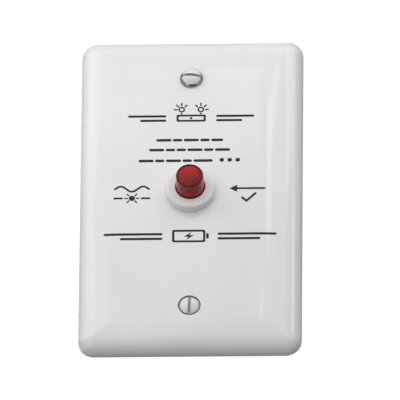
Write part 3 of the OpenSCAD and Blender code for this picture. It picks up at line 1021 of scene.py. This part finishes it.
def build_legend_code():
    """Three rows of flash marks, the last with its three dots."""
    k = Skin()
    for y, marks in ((18.9, ((-10.4, -6.6), (-5.2, -3.2), (-1.8, 2.0), (3.4, 5.4), (6.8, 9.6))),
                     (15.3, ((-12.6, -8.8), (-7.4, -5.4), (-4.0, -2.0), (-0.6, 3.2), (4.6, 6.6), (8.0, 11.8))),
                     (11.3, ((-15.9, -12.1), (-10.7, -8.7), (-7.3, -3.5), (-2.1, -0.1), (1.3, 6.4)))):
        for x0, x1 in marks:
            rule(k, x0, x1, y, 0.95)
    for x in (9.7, 12.2, 14.7):
        press(k, disc(x, 11.5, 0.72))
    return solid("legend_code", k, 30.0)


def build_legend_left():
    """Alternating-current wave over a lit lamp."""
    k = Skin()
    wave = [(-23.6 + 10.6 * i / 40, 1.0 + 0.95 * math.sin(2 * math.pi * 1.5 * i / 40)) for i in range(41)]
    stroke(k, wave, 0.66)
    press(k, disc(-18.3, -2.4, 0.95))
    rays(k, -18.3, -2.4, 1.35, 2.1, 0.46, (0, 45, 135, 180, 225, 315))
    rule(k, -23.8, -21.4, -2.4, 0.66)
    rule(k, -15.2, -12.8, -2.4, 0.66)
    return solid("legend_left", k, 30.0)


def build_legend_right():
    """Arrow towards the button over a tick."""
    k = Skin()
    shaft = [(lerp(14.6, 23.1, i / 8), 0.34) for i in range(9)] + [(23.35, 0.22), (23.44, 0.0)]
    half = [(12.2, 0.0), (14.6, 1.3)] + shaft
    press(k, [(x, 1.0 - y) for x, y in half] + [(x, 1.0 + y) for x, y in half[-2:0:-1]])
    stroke(k, [(16.2, -2.4), (17.5, -3.6), (20.3, -0.9)], 0.74)
    return solid("legend_right", k, 30.0)


def build_legend_low():
    """Battery with a charging bolt between level bars and rules."""
    k = Skin()
    y = -16.4
    press(k, slab_outline(-5.6, 4.8, y - 2.3, y + 2.3, 0.6), [slab_outline(-4.88, 4.08, y - 1.58, y + 1.58, 0.25)])
    press(k, slab_outline(5.05, 5.85, y - 0.95, y + 0.95, 0.25))
    bolt = [(0.5, 1.45), (-2.0, -0.25), (-0.55, -0.25), (-1.3, -1.45), (1.2, 0.3), (-0.25, 0.3)]
    press(k, [(x - 0.0, y + dy) for x, dy in bolt])
    for s in (-1, 1):
        rule(k, s * 9.0, s * 26.6, y + 0.75, 0.84)
        rule(k, s * 9.0, s * 21.5, y - 0.95, 0.84)
    return solid("legend_low", k, 30.0)


for piece in (build_legend_top(), build_legend_code(), build_legend_left(), build_legend_right(), build_legend_low()):
    fit(piece, ink, "plate")

# ---------------------------------------------------------------- studio

world = bpy.data.worlds.new("studio")
scene.world = world
world.use_nodes = True
wn = world.node_tree
for nd in list(wn.nodes):
    wn.nodes.remove(nd)
out = wn.nodes.new("ShaderNodeOutputWorld")
mixer = wn.nodes.new("ShaderNodeMixShader")
lp = wn.nodes.new("ShaderNodeLightPath")
amb = wn.nodes.new("ShaderNodeBackground")
amb.inputs["Color"].default_value = (1.0, 1.0, 1.0, 1)
amb.inputs["Strength"].default_value = 0.208
page = wn.nodes.new("ShaderNodeBackground")
page.inputs["Color"].default_value = (1.0, 1.0, 1.0, 1)
page.inputs["Strength"].default_value = 1.0
wn.links.new(lp.outputs["Is Camera Ray"], mixer.inputs["Fac"])
wn.links.new(amb.outputs["Background"], mixer.inputs[1])
wn.links.new(page.outputs["Background"], mixer.inputs[2])
wn.links.new(mixer.outputs["Shader"], out.inputs["Surface"])


def heading(az, el):
    a, e = math.radians(az), math.radians(el)
    return Vector((math.sin(a) * math.cos(e), -math.cos(a) * math.cos(e), math.sin(e)))


def softbox(name, az, el, dist, width, height, radiance, tint=(1, 1, 1), turn=0.0, aim=(0, 0, 0)):
    data = bpy.data.lights.new(name, "AREA")
    data.shape = "RECTANGLE"
    data.size = width
    data.size_y = height
    data.energy = radiance * math.pi * width * height
    data.color = tint
    ob = bpy.data.objects.new(name, data)
    back = heading(az, el)
    ob.location = Vector(aim) + back * dist
    rot = back.to_track_quat("Z", "Y").to_matrix().to_4x4()
    ob.matrix_world = Matrix.Translation(ob.location) @ rot @ Matrix.Rotation(turn, 4, "Z")
    scene.collection.objects.link(ob)
    ob.visible_camera = False
    return ob


softbox("window", -18.05, -2.9, 1.06, 0.6, 1.40, 0.74, turn=-0.03)
softbox("window_top", 1.64, 35, 1.0016, 0.05, 0.09, 0.56, turn=-1.012)
softbox("streak", 4.64, 32.15, 1.0012, 0.034, 0.06, 2.0, turn=0.12)
softbox("streak_top", 7.37, 33.72, 1.0044, 0.018, 0.07, 2.2, turn=-1.187)
softbox("edge_right", 52.5, 30.1, 1.0, 0.26, 0.08, 2.1, aim=(0, 0, -0.03))
softbox("front_left", -35, 5, 1.2, 0.8, 0.8, 0.17)
softbox("front_right", 35, 5, 1.2, 0.8, 0.8, 0.80)
softbox("right", 28, 0, 1.2, 0.8, 1.2, 0.31)
softbox("side_right", 75, 10, 1.0, 0.8, 0.8, 0.14)
softbox("low_left", -45, -25, 1.2, 0.8, 0.8, 0.98)
softbox("low", 0, -45, 1.2, 1.0, 0.8, 0.10)
softbox("near_left", -65, 20, 0.36, 0.24, 0.24, 0.95)
softbox("top_left", -40, 50, 0.36, 0.24, 0.24, 0.59)
softbox("top_right", 40, 50, 0.36, 0.24, 0.24, 1.48)
softbox("upper_left", -45, 20, 0.35, 0.2, 0.2, 1.32, aim=(0, 0, 0.05))
softbox("upper_right", 45, 20, 0.35, 0.2, 0.2, 0.33, aim=(0, 0, 0.05))
softbox("sheen", -2.5, 42, 1.0, 0.8, 0.72, 0.49)
softbox("window_mid", -4.42, 33.49, 1.0043, 0.12, 0.11, 0.74, turn=-0.209)
softbox("window_side", -24.52, 31.88, 1.0801, 0.52, 0.146, 0.74)
softbox("spot", 1.37, 28.8, 1.0008, 0.03, 0.022, 2.2)
softbox("behind", 205, 35, 1.2, 0.9, 0.9, 2.2)
softbox("behind_low", 222, 2, 1.2, 0.8, 0.8, 1.3)

floor = bpy.data.meshes.new("floor")
floor.from_pydata([(-14, -14, -2.9), (14, -14, -2.9), (14, 14, -2.9), (-14, 14, -2.9)], [], [(0, 1, 2, 3)])
floor_ob = bpy.data.objects.new("floor", floor)
scene.collection.objects.link(floor_ob)
floor.materials.append(plastic("floor_pale", (0.80, 0.80, 0.80), (0.82, 0.82, 0.82), (0.7, 0.8), patch=0.5, grain=30.0))

# ---------------------------------------------------------------- camera

AZ, EL, TILT, PX, SHOT = 2.0, -31.8, 0.55, 3.197, 5.0
AIM_PX = (191.0, 200.8)
back = heading(AZ, EL)
right = Vector((math.cos(math.radians(AZ)), math.sin(math.radians(AZ)), 0))
up = back.cross(right)
c, s = math.cos(math.radians(TILT)), math.sin(math.radians(TILT))
cam_x, cam_y = right * c + up * s, up * c - right * s
aim = cam_x * ((200 - AIM_PX[0]) / PX * MM) + cam_y * ((AIM_PX[1] - 200) / PX * MM)
cam = bpy.data.cameras.new("camera")
cam.sensor_fit = "HORIZONTAL"
cam.sensor_width = 36.0
cam.lens = 36.0 * SHOT / (400 / PX * MM)
cam.clip_start, cam.clip_end = 0.05, 60.0
cam_ob = bpy.data.objects.new("camera", cam)
spot = aim + back * SHOT
cam_ob.matrix_world = Matrix(((cam_x.x, cam_y.x, back.x, spot.x), (cam_x.y, cam_y.y, back.y, spot.y),
                              (cam_x.z, cam_y.z, back.z, spot.z), (0, 0, 0, 1)))
scene.collection.objects.link(cam_ob)
scene.camera = cam_ob
scene.view_settings.view_transform = "Standard"
scene.view_settings.look = "None"
